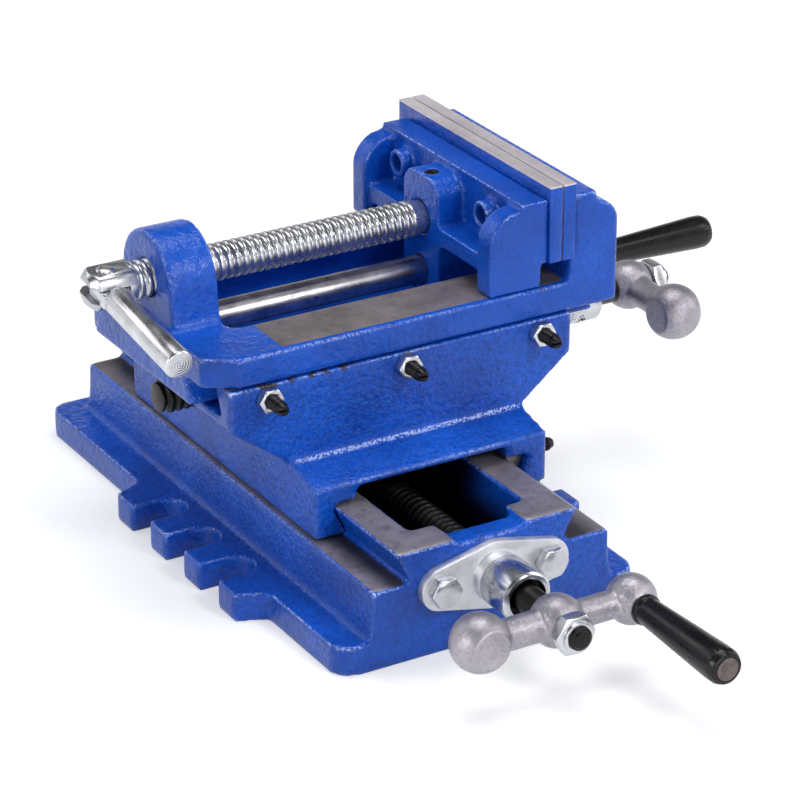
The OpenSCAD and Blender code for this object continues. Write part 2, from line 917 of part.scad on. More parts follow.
// Movable jaw: wall, cheeks, hub, shelves and screw bosses in one casting
module cheek_outline() {
    arc_z = jaw_top_z - cheek_drop - cheek_r;
    heel = moving_seat - jaw_undercut;
    translate([jaw_back_x, foot_z])
        square([heel - jaw_back_x, arc_z - foot_z]);
    translate([jaw_back_x + cheek_r, arc_z])
        circle(cheek_r);
    translate([jaw_back_x + cheek_r, arc_z - eps])
        square([jaw_depth - jaw_undercut - cheek_r, cheek_r + eps]);
}

module hub_outline() {
    top_r = 7;
    low = bed_z + 2 * way_gap;
    high = jaw_top_z - hub_drop;
    translate([-hub_hw, low])
        square([2 * hub_hw, high - top_r - low]);
    translate([-hub_hw + top_r, low])
        square([2 * (hub_hw - top_r), high - low]);
    for (side = [-1, 1])
        translate([side * (hub_hw - top_r), high - top_r])
            circle(top_r);
}

// Arched way under a shelf, between the hub and a cheek
module under_shelf(inner, outer) {
    arch_r = 4;
    along_x(jaw_back_x - eps, moving_seat + eps)
        round_rect(inner, outer, foot_z - 3 * arch_r, foot_z + shelf_h, arch_r);
}

module movable_jaw() {
    shelf_z = foot_z + shelf_h + shelf_t;
    front = jaw_hw - jaw_recess;
    boss_out = 5;
    boss_radius = 5;
    color(blue)
        difference() {
            union() {
                along_y(-front, jaw_rear) {
                    translate([wall_x, foot_z])
                        square([jaw_wall_t - jaw_undercut, jaw_top_z - foot_z]);
                    translate([wall_x, jaw_plate_z])
                        square([jaw_wall_t, jaw_top_z - jaw_plate_z]);
                    translate([hub_x, foot_z])
                        square([hub_depth - jaw_undercut, shelf_z - foot_z]);
                }
                along_y(-front, -front + cheek_t)
                    cheek_outline();
                along_y(jaw_rear - cheek_t, jaw_rear)
                    cheek_outline();
                along_x(hub_x, moving_seat - jaw_undercut)
                    hub_outline();
                for (side = [-1, 1])
                    rod_x(wall_x - boss_out, wall_x + eps,
                        plate_screw_at(side), plate_screw_z, boss_radius);
            }
            under_shelf(-front + cheek_t, -hub_hw);
            under_shelf(hub_hw, jaw_rear - cheek_t);
            rod_x(hub_x - eps, hub_x + nose_l + 0.5, 0, screw_z, nose_r + run_fit);
            rod_x(hub_x - eps, moving_seat + eps, 0, rod_z, rod_r + run_fit);
            translate([retainer_x, 0, screw_z])
                cylinder(h = jaw_top_z - screw_z, r = retainer_r + fixed_fit);
            for (side = [-1, 1])
                rod_x(wall_x - boss_out - eps, moving_seat + eps,
                    plate_screw_at(side), plate_screw_z, plate_screw_r + fixed_fit);
        }
}

// Hard jaw plates with countersunk screw holes
module jaw_plate(face, seat) {
    low = min(face, seat);
    color(dark_steel)
        difference() {
            translate([low, -jaw_hw, jaw_plate_z])
                cube([jaw_plate_t, 2 * jaw_hw, jaw_plate_h]);
            for (side = [-1, 1])
                translate([face, plate_screw_at(side), plate_screw_z])
                    rotate([0, seat > face ? 90 : -90, 0])
                        plate_screw_shape(jaw_plate_t + eps, fixed_fit);
        }
}

// A countersunk screw, its flat head at the local origin
module plate_screw_shape(length, room) {
    rotate_extrude()
        polygon([
            [0, room > 0 ? -eps : 0.2],
            [plate_screw_head_r + room, room > 0 ? -eps : 0.2],
            [plate_screw_head_r + room, 0.4],
            [plate_screw_r + room, plate_screw_head_h],
            [plate_screw_r + room, length],
            [0, length]
        ]);
}

module plate_screws(face, turn, length) {
    color(dark_steel)
        for (side = [-1, 1])
            translate([face, plate_screw_at(side), plate_screw_z])
                rotate([0, turn, 0])
                    plate_screw_shape(length, 0);
}

module fixed_jaw_plate() {
    jaw_plate(fixed_face, fixed_seat);
}

module movable_jaw_plate() {
    jaw_plate(moving_face, moving_seat);
}

module fixed_plate_screws() {
    plate_screws(fixed_face, 90, fixed_plate_screw_l);
}

module movable_plate_screws() {
    plate_screws(moving_face, -90, moving_plate_screw_l);
}

// Clamp screw with its fork, and the folding handle
module turned() {
    translate([0, 0, screw_z])
        rotate([handle_droop, 0, 0])
            children();
}

module clamp_screw() {
    nose_end = hub_x + nose_l;
    thread_end = hub_x - nose_bare;
    color(steel)
        turned()
            difference() {
                union() {
                    rod_x(fork_end - eps, thread_end, 0, 0, clamp_r);
                    rod_x(thread_end - eps, nose_end, 0, 0, nose_r);
                    intersection() {
                        translate([fork_tip, 0, 0])
                            rotate([0, 90, 0]) {
                                cylinder(h = fork_chamfer, r1 = fork_r - fork_chamfer, r2 = fork_r);
                                translate([0, 0, fork_chamfer])
                                    cylinder(h = fork_l - fork_chamfer, r = fork_r);
                            }
                        translate([fork_tip - eps, -fork_r, -fork_flat])
                            cube([fork_l + 2 * eps, 2 * fork_r, 2 * fork_flat]);
                    }
                }
                translate([fork_tip - eps, -fork_r - eps, -fork_slot])
                    cube([fork_l - 3 + eps, 2 * fork_r + 2 * eps, 2 * fork_slot]);
                translate([handle_pivot, 0, -fork_flat - eps])
                    cylinder(h = 2 * fork_flat + 2 * eps, r = pin_r + fixed_fit);
                difference() {
                    rod_x(retainer_x - groove_w / 2, retainer_x + groove_w / 2, 0, 0, nose_r + eps);
                    rod_x(retainer_x - groove_w, retainer_x + groove_w, 0, 0, groove_r);
                }
            }
}

module handle_pin() {
    head_r = pin_r + 1.2;
    head_h = 0.8;
    color(steel)
        turned()
            translate([handle_pivot, 0, 0]) {
                translate([0, 0, -fork_flat])
                    cylinder(h = 2 * fork_flat, r = pin_r);
                for (side = [0, 1])
                    mirror([0, 0, side])
                        translate([0, 0, fork_flat])
                            cylinder(h = head_h, r1 = head_r, r2 = pin_r);
            }
}

module clamp_handle() {
    tongue_h = 2 * (fork_slot - way_gap);
    tongue_r = handle_r;
    color(steel)
        turned()
            translate([handle_pivot, 0, 0])
                difference() {
                    union() {
                        translate([0, 0, -tongue_h / 2])
                            cylinder(h = tongue_h, r = tongue_r);
                        translate([-tongue_r, -handle_tongue, -tongue_h / 2])
                            cube([2 * tongue_r, handle_tongue, tongue_h]);
                        translate([0, -handle_tongue, 0])
                            rotate([90, 0, 0])
                                rotate_extrude()
                                    polygon([
                                        [0, -eps],
                                        [handle_r - handle_chamfer, -eps],
                                        [handle_r, handle_chamfer],
                                        [handle_r, handle_l - handle_tongue - handle_chamfer],
                                        [handle_r - handle_chamfer, handle_l - handle_tongue],
                                        [0, handle_l - handle_tongue]
                                    ]);
                    }
                    translate([0, 0, -tongue_h])
                        cylinder(h = 2 * tongue_h, r = pin_r + run_fit);
                }
}

// Dog-point screw that keeps the nose of the clamp screw in the hub
module screw_retainer() {
    top = jaw_top_z - hub_drop - retainer_sink;
    tip = screw_z + groove_r + 0.2;
    shoulder = screw_z + nose_r + 1;
    color(black)
        translate([retainer_x, 0, 0])
            difference() {
                union() {
                    translate([0, 0, tip])
                        cylinder(h = shoulder - tip + 0.5, r = retainer_tip_r);
                    translate([0, 0, shoulder])
                        cylinder(h = top - shoulder, r = retainer_r);
                }
                socket(top, retainer_socket_af, retainer_socket_h);
            }
}

// Feed screw with thrust collar, journal and crank stud, along local Z
module feed_screw(inside) {
    stud_end = crank_face + crank_nut_t + stud_out;
    color(black) {
        translate([0, 0, -inside])
            cylinder(h = inside - collar_room, r = feed_r);
        translate([0, 0, -collar_t - collar_room])
            cylinder(h = collar_t, r = collar_r);
        translate([0, 0, -collar_room - eps])
            cylinder(h = crank_reach - crank_flat + collar_room + eps, r = journal_r);
        translate([0, 0, crank_reach - crank_flat - 2])
            cylinder(h = stud_end - crank_reach + crank_flat + 1, r = stud_r);
        translate([0, 0, stud_end - 2])
            cylinder(h = 2, r1 = stud_r, r2 = stud_r - 1.2);
    }
}

// Bearing plate with two bolts and a graduated boss, on local Z
module bearing_plate(bolt_h) {
    ring = bolt_h > 0
        ? [[0, 0, upper_plate_r], [plate_bolt_x, bolt_h, plate_end_r], [-plate_bolt_x, bolt_h, plate_end_r]]
        : [
            [-plate_bolt_x, 0, plate_end_r],
            [0, 0, plate_r],
            [plate_bolt_x, 0, plate_end_r],
            [0, 0, plate_r]
        ];
    color(steel)
        difference() {
            union() {
                linear_extrude(plate_t)
                    belt(ring);
                cylinder(h = plate_t + plate_boss_h, r = dial_r);
            }
            translate([0, 0, -eps])
                cylinder(h = plate_t + plate_boss_h + 2 * eps, r = journal_r + run_fit);
            plate_bolt_holes(bolt_h, plate_bolt_r + 0.3);
        }
}

module plate_bolt_holes(bolt_h, r) {
    for (side = [-1, 1])
        translate([side * plate_bolt_x, bolt_h, plate_t - plate_bolt_l - 0.5])
            cylinder(h = plate_bolt_l + plate_t, r = r);
}

module plate_bolts(bolt_h) {
    color(steel)
        for (side = [-1, 1])
            translate([side * plate_bolt_x, bolt_h, plate_t]) {
                translate([0, 0, -plate_bolt_l])
                    cylinder(h = plate_bolt_l + 1, r = plate_bolt_r);
                hex_block(plate_bolt_af, bolt_head_h, false);
            }
}

// Graduated dial, clamped on the journal by a grub screw
module dial(grub_turn) {
    bevel = 0.8;
    color(steel)
        difference() {
            rotate_extrude()
                polygon([
                    [journal_r + fixed_fit, dial_start],
                    [dial_r, dial_start],
                    [dial_r, dial_end - bevel],
                    [dial_r - bevel, dial_end],
                    [journal_r + 1.8, dial_end],
                    [journal_r + 1.8, dial_end - dial_recess],
                    [journal_r + fixed_fit, dial_end - dial_recess]
                ]);
            grub_place(grub_turn)
                cylinder(h = dial_r, r = grub_r + fixed_fit);
        }
}

module grub_place(grub_turn) {
    translate([0, 0, (dial_start + dial_end) / 2])
        rotate([0, 90, grub_turn])
            children();
}

module dial_screw(grub_turn) {
    color(black)
        grub_place(grub_turn)
            difference() {
                translate([0, 0, journal_r])
                    cylinder(h = dial_r - journal_r - grub_sink, r = grub_r);
                socket(dial_r - grub_sink, grub_socket_af, grub_socket_h);
            }
}

// Three-ball crank across local X, the grip ball on the plus side
module crank() {
    arm_r = 5.4;
    arm_thin_r = 4.8;
    color(cast_grey)
        translate([0, 0, crank_reach])
            difference() {
                intersection() {
                    union() {
                        sphere(hub_ball_r);
                        translate([-crank_arm, 0, 0])
                            sphere(big_ball_r);
                        translate([crank_arm, 0, 0])
                            sphere(grip_ball_r);
                        rotate([0, -90, 0])
                            cylinder(h = crank_arm, r = arm_r);
                        rotate([0, 90, 0])
                            cylinder(h = crank_arm, r = arm_thin_r);
                    }
                    translate([-2 * crank_arm, -2 * crank_arm, -crank_flat])
                        cube([4 * crank_arm, 4 * crank_arm, 2 * crank_flat]);
                }
                translate([0, 0, -crank_flat - eps])
                    cylinder(h = 2 * crank_flat + 2 * eps, r = stud_r + fixed_fit);
                translate([crank_arm, 0, crank_flat - spindle_seat])
                    cylinder(h = spindle_seat + eps, r = spindle_r + fixed_fit);
            }
}

module crank_nut() {
    collar = 1.4;
    color(steel)
        translate([0, 0, crank_face])
            difference() {
                union() {
                    hex_block(crank_nut_af, crank_nut_t - collar, true);
                    cylinder(h = crank_nut_t, r = crank_nut_af / 2 - 1.2);
                }
                translate([0, 0, -eps])
                    cylinder(h = crank_nut_t + 2 * eps, r = stud_r + fixed_fit);
            }
}

// Spindle riveted in the crank, and the grip that spins on it
module grip_spindle() {
    color(steel)
        translate([crank_arm, 0, 0]) {
            translate([0, 0, crank_face - spindle_seat])
                cylinder(h = spindle_seat + grip_end - crank_face - 0.5, r = spindle_r);
            translate([0, 0, grip_end - spindle_head_h])
                cylinder(h = spindle_head_h, r = spindle_head_r);
        }
}

module grip() {
    floor_z = grip_end - spindle_head_h - way_gap;
    flange = 1.6;
    color(black)
        translate([crank_arm, 0, 0])
            rotate_extrude()
                polygon([
                    [spindle_r + run_fit, grip_start],
                    [grip_neck_r + 0.7, grip_start],
                    [grip_neck_r + 0.7, grip_start + flange],
                    [grip_neck_r, grip_start + flange + 0.6],
                    [grip_r, grip_end - 6],
                    [grip_r - 0.1, grip_end - 2.4],
                    [grip_r - 0.9, grip_end - 0.5],
                    [grip_r - 1.4, grip_end - 0.2],
                    [spindle_head_r + run_fit, grip_end - 0.2],
                    [spindle_head_r + run_fit, floor_z],
                    [spindle_r + run_fit, floor_z]
                ]);
}

module lower_feed_screw() {
    at_lower() feed_screw(lower_feed_l);
}

module upper_feed_screw() {
    at_upper() feed_screw(upper_feed_l);
}

module lower_bearing_plate() {
    at_lower() bearing_plate(0);
}

module upper_bearing_plate() {
    at_upper() bearing_plate(upper_bolt_h);
}

module lower_plate_bolts() {
    at_lower() plate_bolts(0);
}

module upper_plate_bolts() {
    at_upper() plate_bolts(upper_bolt_h);
}

module lower_dial() {
    at_lower() dial(lower_grub_turn);
}

module upper_dial() {
    at_upper() dial(upper_grub_turn);
}

module lower_dial_screw() {
    at_lower() dial_screw(lower_grub_turn);
}

module upper_dial_screw() {
    at_upper() dial_screw(upper_grub_turn);
}

module lower_crank() {
    at_lower() crank();
}

module upper_crank() {
    at_upper() crank();
}

module lower_crank_nut() {
    at_lower() crank_nut();
}

module upper_crank_nut() {
    at_upper() crank_nut();
}

module lower_grip_spindle() {
    at_lower() grip_spindle();
}

module upper_grip_spindle() {
    at_upper() grip_spindle();
}

module lower_grip() {
    at_lower() grip();
}

module upper_grip() {
    at_upper() grip();
}

base();
saddle();
vise_body();
movable_jaw();
fixed_jaw_plate();
movable_jaw_plate();
fixed_plate_screws();
movable_plate_screws();
clamp_screw();
clamp_handle();
handle_pin();
screw_retainer();
guide_rod();
lower_gib();
lower_gib_screws();
lower_gib_nuts();
upper_gib();
upper_gib_screws();
upper_gib_nuts();
lower_feed_nut();
lower_nut_screws();
upper_feed_nut();
upper_nut_screws();
lower_feed_screw();
lower_bearing_plate();
lower_plate_bolts();
lower_dial();
lower_dial_screw();
lower_crank();
lower_crank_nut();
lower_grip_spindle();
lower_grip();
upper_feed_screw();
upper_bearing_plate();
upper_plate_bolts();
upper_dial();
upper_dial_screw();
upper_crank();
upper_crank_nut();
upper_grip_spindle();
upper_grip();
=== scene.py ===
import json
import math
from functools import partial
import bpy
from mathutils import Matrix, Vector

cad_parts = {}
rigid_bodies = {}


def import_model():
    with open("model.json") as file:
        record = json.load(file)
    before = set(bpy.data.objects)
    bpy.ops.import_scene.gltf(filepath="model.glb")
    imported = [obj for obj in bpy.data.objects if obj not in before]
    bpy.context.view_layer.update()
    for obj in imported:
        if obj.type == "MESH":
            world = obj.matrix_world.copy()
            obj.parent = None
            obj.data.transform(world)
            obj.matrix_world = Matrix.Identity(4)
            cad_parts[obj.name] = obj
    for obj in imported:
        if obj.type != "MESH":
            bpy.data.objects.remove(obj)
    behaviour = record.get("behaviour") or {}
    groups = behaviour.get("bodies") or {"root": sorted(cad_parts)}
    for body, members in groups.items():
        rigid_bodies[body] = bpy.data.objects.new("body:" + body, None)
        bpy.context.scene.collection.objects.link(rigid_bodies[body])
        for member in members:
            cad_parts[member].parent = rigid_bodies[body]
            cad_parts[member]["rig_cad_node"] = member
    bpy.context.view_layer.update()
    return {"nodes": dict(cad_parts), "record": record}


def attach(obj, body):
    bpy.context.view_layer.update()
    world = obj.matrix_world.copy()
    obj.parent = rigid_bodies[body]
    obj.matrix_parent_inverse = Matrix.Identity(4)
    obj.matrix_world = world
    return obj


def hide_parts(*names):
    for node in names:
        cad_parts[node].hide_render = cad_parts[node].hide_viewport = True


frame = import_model()
record = frame["record"]
nodeBody = {n: b for b, ns in record["behaviour"]["bodies"].items() for n in ns}
joints = {j["name"]: j for j in record["behaviour"]["joints"]}
print("frame loaded", len(frame["nodes"]), "nodes")

sides = ("lower", "upper")
copySet = {"weld": 0.004, "flat": 0.6}  # mm, degrees
edgeSet = {"segments": 2, "angle": 40, "weld": 0.002, "shade": 35}


def mm(*values):
    scaled = tuple(v / 1000 for v in values)
    return scaled if len(scaled) > 1 else scaled[0]


def linear(code):
    out = []
    for i in (1, 3, 5):
        c = int(code[i:i + 2], 16) / 255
        out.append(c / 12.92 if c <= 0.04045 else ((c + 0.055) / 1.055) ** 2.4)
    return (*out, 1.0)


def jointAt(name):
    return tuple(v * 1000 for v in joints[name]["pos_m"])  # mm


def onAxis(axis, value):
    spot = [0.0, 0.0, 0.0]
    spot[axis] = value
    return spot


def pick(obj):
    bpy.ops.object.select_all(action="DESELECT")
    obj.select_set(True)
    bpy.context.view_layer.objects.active = obj


def applyModifiers(obj):
    pick(obj)
    for name in [m.name for m in obj.modifiers]:
        bpy.ops.object.modifier_apply(modifier=name)


def editAll(obj):
    pick(obj)
    bpy.ops.object.mode_set(mode="EDIT")
    bpy.ops.mesh.select_all(action="SELECT")


def leaveEdit():
    bpy.ops.object.mode_set(mode="OBJECT")


def weld(obj, near):
    editAll(obj)
    bpy.ops.mesh.remove_doubles(threshold=mm(near))
    leaveEdit()


def cadCopy(node, name):
    pick(frame["nodes"][node])
    bpy.ops.object.duplicate()
    obj = bpy.context.active_object
    obj.name = name
    del obj["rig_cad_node"]
    obj.parent = None
    editAll(obj)
    bpy.ops.mesh.remove_doubles(threshold=mm(copySet["weld"]))
    bpy.ops.mesh.dissolve_limited(angle_limit=math.radians(copySet["flat"]))
    leaveEdit()
    obj.data.materials.clear()
    return obj


def joinAll(objs, name):
    pick(objs[0])
    for o in objs:
        o.select_set(True)
    bpy.ops.object.join()
    obj = bpy.context.active_object
    obj.name = name
    return obj


def breakEdge(obj, width):
    bevel = obj.modifiers.new("edge", "BEVEL")
    bevel.width = mm(width)
    bevel.segments = edgeSet["segments"]
    bevel.limit_method = "ANGLE"
    bevel.angle_limit = math.radians(edgeSet["angle"])
    applyModifiers(obj)
    weld(obj, edgeSet["weld"])
    pick(obj)
    bpy.ops.object.shade_smooth_by_angle(angle=math.radians(edgeSet["shade"]))


def paintOver(obj, material):
    obj.data.materials.clear()
    obj.data.materials.append(material)


def settle(obj, node, material):
    paintOver(obj, material)
    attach(obj, nodeBody[node])
    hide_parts(node)


def addNode(tree, kind, inputs=(), out=0, **settings):
    node = tree.nodes.new("ShaderNode" + kind)
    for name, value in settings.items():
        setattr(node, name, value)
    sockets = inputs.items() if isinstance(inputs, dict) else enumerate(inputs)
    for socket, value in sockets:
        if isinstance(value, bpy.types.NodeSocket):
            tree.links.new(value, node.inputs[socket])
        else:
            node.inputs[socket].default_value = value
    return node.outputs if out is None else node.outputs[out]


def startMaterial(name):
    mat = bpy.data.materials.new(name)
    mat.use_nodes = True
    mat.node_tree.nodes.clear()
    add = partial(addNode, mat.node_tree)
    return mat, add, add("TexCoord", out=None)


def pattern(sizeMm, detail=3.0, rough=0.55):
    return {"Scale": 1000 / sizeMm, "Detail": detail, "Roughness": rough}


spread = (0.3, 0.7)  # where most values of a noise lie
colorMix = {"data_type": "RGBA", "out": 2}  # its colours go in at sockets 6 and 7


def boxMask(add, place, box):
    softMm = 0.3
    made = None
    for spot, low, high in zip(add("SeparateXYZ", (place,), None), *box):
        middle, half = mm((low + high) / 2, (high - low) / 2)
        offset = add("Math", (spot, middle), operation="SUBTRACT")
        away = add("Math", (offset,), operation="ABSOLUTE")
        inside = add("MapRange", (away, half - mm(softMm), half, 1.0, 0.0))
        made = inside if made is None else add("Math", (made, inside), operation="MULTIPLY")
    return made


def sumMask(add, place, boxes):
    total = None
    for box in boxes:
        one = boxMask(add, place, box)
        total = one if total is None else add("Math", (total, one), operation="MAXIMUM")
    return total


groundSet = {
    "grain": pattern(0.35, 2.0, 0.6), "stain": pattern(22, 4.0, 0.6), "scuff": pattern(3.2, 4.0, 0.65),
    "stainRange": (0.3, 0.75), "scuffRange": (0.5, 0.68), "oil": "#3c3634", "oilAndShadeColor": "#1a1818",
    "oilAndShadeShare": 0.8, "metal": 0.55, "rough": (0.34, 0.5), "strength": 0.18, "deep": 0.05,
}


# groundSteel: iron or steel ground flat, oiled and slightly tarnished, so dull grey with a fine grain
def groundShader(add, place, s):
    g = groundSet
    streak = add("Mapping", {"Vector": place, "Scale": s["along"]})
    grain = add("TexNoise", {"Vector": streak, **g["grain"]})
    stain = add("TexNoise", {"Vector": place, **g["stain"]})
    stain = add("MapRange", (stain, *g["stainRange"]))
    dark, light = (linear(tone) for tone in s["tones"])
    color = add("Mix", {0: stain, 6: dark, 7: light}, **colorMix)
    scuff = add("TexNoise", {"Vector": place, **g["scuff"]})
    scuff = add("MapRange", (scuff, *g["scuffRange"], 0.0, s["scuff"]))
    color = add("Mix", {0: scuff, 6: color, 7: linear(g["oil"])}, **colorMix)  # oil in the grain
    oilAndShade = s.get("oilAndShade")
    if oilAndShade:
        spot = add("SeparateXYZ", (place,), None)
        near = add("Math", (spot[0],), operation="ABSOLUTE")
        near = add("MapRange", (near, *mm(oilAndShade["clean"], oilAndShade["dark"]), 0.0, g["oilAndShadeShare"]))
        low = add("Math", (spot[2], mm(oilAndShade["below"])), operation="LESS_THAN")
        oilyShaded = add("Math", (near, low), operation="MULTIPLY")
        color = add("Mix", {0: oilyShaded, 6: color, 7: linear(g["oilAndShadeColor"])}, **colorMix)  # painted shade, with oil, on the ways under the dovetail's overhang
    rough = add("MapRange", (grain, *spread, *g["rough"]))
    normal = add("Bump", {"Height": grain, "Strength": g["strength"], "Distance": mm(g["deep"])})
    return add("BsdfPrincipled",
               {"Base Color": color, "Metallic": g["metal"], "Roughness": rough, "Normal": normal})


enamelSet = {
    "patch": pattern(30), "deep": "#0942a3", "fresh": "#1159ca",
    "pits": pattern(1.4, 2.0, 0.6), "pitRange": (0.42, 0.78), "pitColor": "#051a50",
    "sparkle": pattern(0.9, 2.0, 0.7), "sparkleRange": (0.46, 0.54), "glintColor": "#bed0fc",
    "edge": (0.526, 0.565), "hollow": (0.494, 0.474),  # pointiness on edges and in fillets
    "lean": (0.05, 0.45), "leanGlint": (0.2, 0.95),
    "thin": pattern(24, 2.0), "glintPatchRange": (0.38, 0.56, 0.25, 1.0),
    "chips": pattern(6, 4.0, 0.7), "chipRange": (0.6, 0.65), "chipEdge": (0.52, 0.56),
    "chipColor": "#2f2523", "rub": pattern(7, 4.0, 0.65), "rubRange": (0.5, 0.56),
    "troughShadeColor": "#0b0b0d", "troughShadeShare": 0.94,
    "lumps": pattern(14, 2.0), "lumpStrength": 0.5, "lumpDeep": 1.0,
    "skin": pattern(2.4, 3.0, 0.6), "skinStrength": 0.85, "skinDeep": 0.6,
    "grit": pattern(1.0, 2.0, 0.65), "gritDeep": 0.26,
    "rough": (0.12, 0.26), "specular": 0.32,
    "flat": (0.75, 0.9), "ragged": pattern(4), "raggedBy": (-0.2, 0.2), "bareRange": (0.45, 0.6),
}


# blueEnamel: gloss royal-blue enamel brushed over a sand-cast skin: lumpy highlights, painted pale
# highlights on upper edges, chipped edges
def blueEnamel(name, s):
    e = enamelSet
    wear = s.get("wear", 1.0)
    mat, add, coords = startMaterial(name)
    place = coords["Object"]
    up = add("SeparateXYZ", (coords["Normal"],), None)[2]
    pointed = add("NewGeometry", out="Pointiness")
    patch = add("TexNoise", {"Vector": place, **e["patch"]})
    patch = add("MapRange", (patch, *spread))
    color = add("Mix", {0: patch, 6: linear(e["deep"]), 7: linear(e["fresh"])}, **colorMix)
    pits = add("TexNoise", {"Vector": place, **e["pits"]})
    pits = add("MapRange", (pits, *e["pitRange"], 0.0, s["pits"]))
    color = add("Mix", {0: pits, 6: color, 7: linear(e["pitColor"])}, **colorMix)  # dirt in the pits

    # Painted highlight: pale broken glints along convex edges, in patches, strongest where edges face up
    sparkle = add("TexNoise", {"Vector": place, **e["sparkle"]})
    dots = add("MapRange", (sparkle, *e["sparkleRange"]))
    edge = add("MapRange", (pointed, *e["edge"]))
    glint = add("Math", (edge, dots), operation="MULTIPLY")
    least, most = (share * wear for share in e["leanGlint"])
    lean = add("MapRange", (up, *e["lean"], least, most))
    glint = add("Math", (glint, lean), operation="MULTIPLY")  # painted highlight, strongest on edges that face up
    thin = add("TexNoise", {"Vector": place, **e["thin"]})
    thin = add("MapRange", (thin, *e["glintPatchRange"]))
    glint = add("Math", (glint, thin), operation="MULTIPLY")
    filletGlint = s.get("filletGlint")
    if filletGlint:
        hollow = add("MapRange", (pointed, *e["hollow"]))
        hollow = add("Math", (hollow, boxMask(add, place, filletGlint["box"])), operation="MULTIPLY")
        dotted = add("MapRange", (sparkle, *e["sparkleRange"], 0.0, filletGlint["light"]))
        dotted = add("Math", (hollow, dotted), operation="MULTIPLY")
        glint = add("Math", (glint, dotted), operation="MAXIMUM")  # painted highlight along the fillet
    color = add("Mix", {0: glint, 6: color, 7: linear(e["glintColor"])}, **colorMix)  # painted highlight along the edges

    flake = add("TexNoise", {"Vector": place, **e["chips"]})
    flake = add("MapRange", (flake, *e["chipRange"]))
    corner = add("MapRange", (pointed, *e["chipEdge"]))
    chip = add("Math", (flake, corner), operation="MULTIPLY")
    rust = s.get("rust")
    if rust:
        rubbed = add("TexNoise", {"Vector": place, **e["rub"]})
        rubbed = add("MapRange", (rubbed, *e["rubRange"]))
        rubbed = add("Math", (rubbed, boxMask(add, place, rust["box"])), operation="MULTIPLY")
        chip = add("Math", (chip, rubbed), operation="MAXIMUM")
    chip = add("Math", (chip, wear), operation="MULTIPLY")
    color = add("Mix", {0: chip, 6: color, 7: linear(e["chipColor"])}, **colorMix)  # chips show bare iron
    troughShade = s.get("troughShade")
    if troughShade:
        spot = add("SeparateXYZ", (place,), None)
        deep = add("MapRange", (spot[2], *mm(troughShade["clean"], troughShade["dark"]), 0.0, e["troughShadeShare"]))
        back = add("MapRange", (spot[1], *mm(troughShade["near"], troughShade["far"]), 0.0, e["troughShadeShare"]))
        shaded = add("Math", (deep, back), operation="MAXIMUM")
        shaded = add("Math", (shaded, boxMask(add, place, troughShade["box"])), operation="MULTIPLY")
        color = add("Mix", {0: shaded, 6: color, 7: linear(e["troughShadeColor"])}, **colorMix)  # painted shade, darker deeper in the trough and further under the saddle

    lumps = add("TexNoise", {"Vector": place, **e["lumps"]})
    skin = add("TexNoise", {"Vector": place, **e["skin"]})
    grit = add("TexNoise", {"Vector": place, **e["grit"]})
    normal = add("Bump", {"Height": lumps, "Strength": e["lumpStrength"], "Distance": mm(e["lumpDeep"])})
    normal = add("Bump", {"Height": skin, "Strength": e["skinStrength"], "Distance": mm(e["skinDeep"]),
                          "Normal": normal})
    normal = add("Bump", {"Height": grit, "Strength": s["grit"], "Distance": mm(e["gritDeep"]),
                          "Normal": normal})
    rough = add("MapRange", (skin, *spread, *e["rough"]))
    surface = add("BsdfPrincipled", {"Base Color": color, "Roughness": rough, "Normal": normal,
                                     "Specular IOR Level": e["specular"]})
    bareBoxes = s.get("tops") or s.get("faces")
    if bareBoxes:
        bare = sumMask(add, place, bareBoxes)
        if "tops" in s:
            flat = add("MapRange", (up, *e["flat"]))
            bare = add("Math", (bare, flat), operation="MULTIPLY")
        ragged = add("TexNoise", {"Vector": place, **e["ragged"]})
        ragged = add("MapRange", (ragged, *spread, *e["raggedBy"]))
        bare = add("Math", (bare, ragged), operation="ADD")
        bare = add("MapRange", (bare, *e["bareRange"]))
        surface = add("MixShader", (bare, surface, groundShader(add, place, s)))
    add("OutputMaterial", (surface,), None)
    return mat


metalSet = {"specks": pattern(5, 3.0, 0.6), "speckRange": (0.66, 0.69), "speckColor": "#123f92",
            "strength": 0.5, "grainShare": 0.5, "blotShare": 0.5, "smoothest": 0.7, "roughest": 1.35}


# plainMetal: one builder for the plain finishes named below, each clouded and finely grained
def plainMetal(name, tones, rough, grainMm, bumpMm, metal=1.0, blotMm=8, specular=0.5,
               stretch=(1, 1, 1), specks=0.0):
    m = metalSet
    mat, add, coords = startMaterial(name)
    place = coords["Object"]
    blot = add("TexNoise", {"Vector": place, **pattern(blotMm, 4.0, 0.6)})
    streak = add("Mapping", {"Vector": place, "Scale": stretch})
    grain = add("TexNoise", {"Vector": streak, **pattern(grainMm, 3.0, 0.6)})
    light, dark = (linear(tone) for tone in tones)
    color = add("Mix", {0: add("MapRange", (blot, *spread)), 6: dark, 7: light}, **colorMix)
    if specks:
        dotted = add("TexNoise", {"Vector": place, **m["specks"]})
        dotted = add("MapRange", (dotted, *m["speckRange"], 0.0, specks))
        color = add("Mix", {0: dotted, 6: color, 7: linear(m["speckColor"])}, **colorMix)  # casting paint
    fine = add("Math", (grain, m["grainShare"]), operation="MULTIPLY")
    broad = add("Math", (blot, m["blotShare"]), operation="MULTIPLY")
    uneven = add("Math", (fine, broad), operation="ADD")
    uneven = add("MapRange", (uneven, *spread, rough * m["smoothest"], rough * m["roughest"]))
    normal = add("Bump", {"Height": grain, "Strength": m["strength"], "Distance": mm(bumpMm)})
    surface = add("BsdfPrincipled", {"Base Color": color, "Metallic": metal, "Roughness": uneven,
                                     "Normal": normal, "Specular IOR Level": specular})
    add("OutputMaterial", (surface,), None)
    return mat


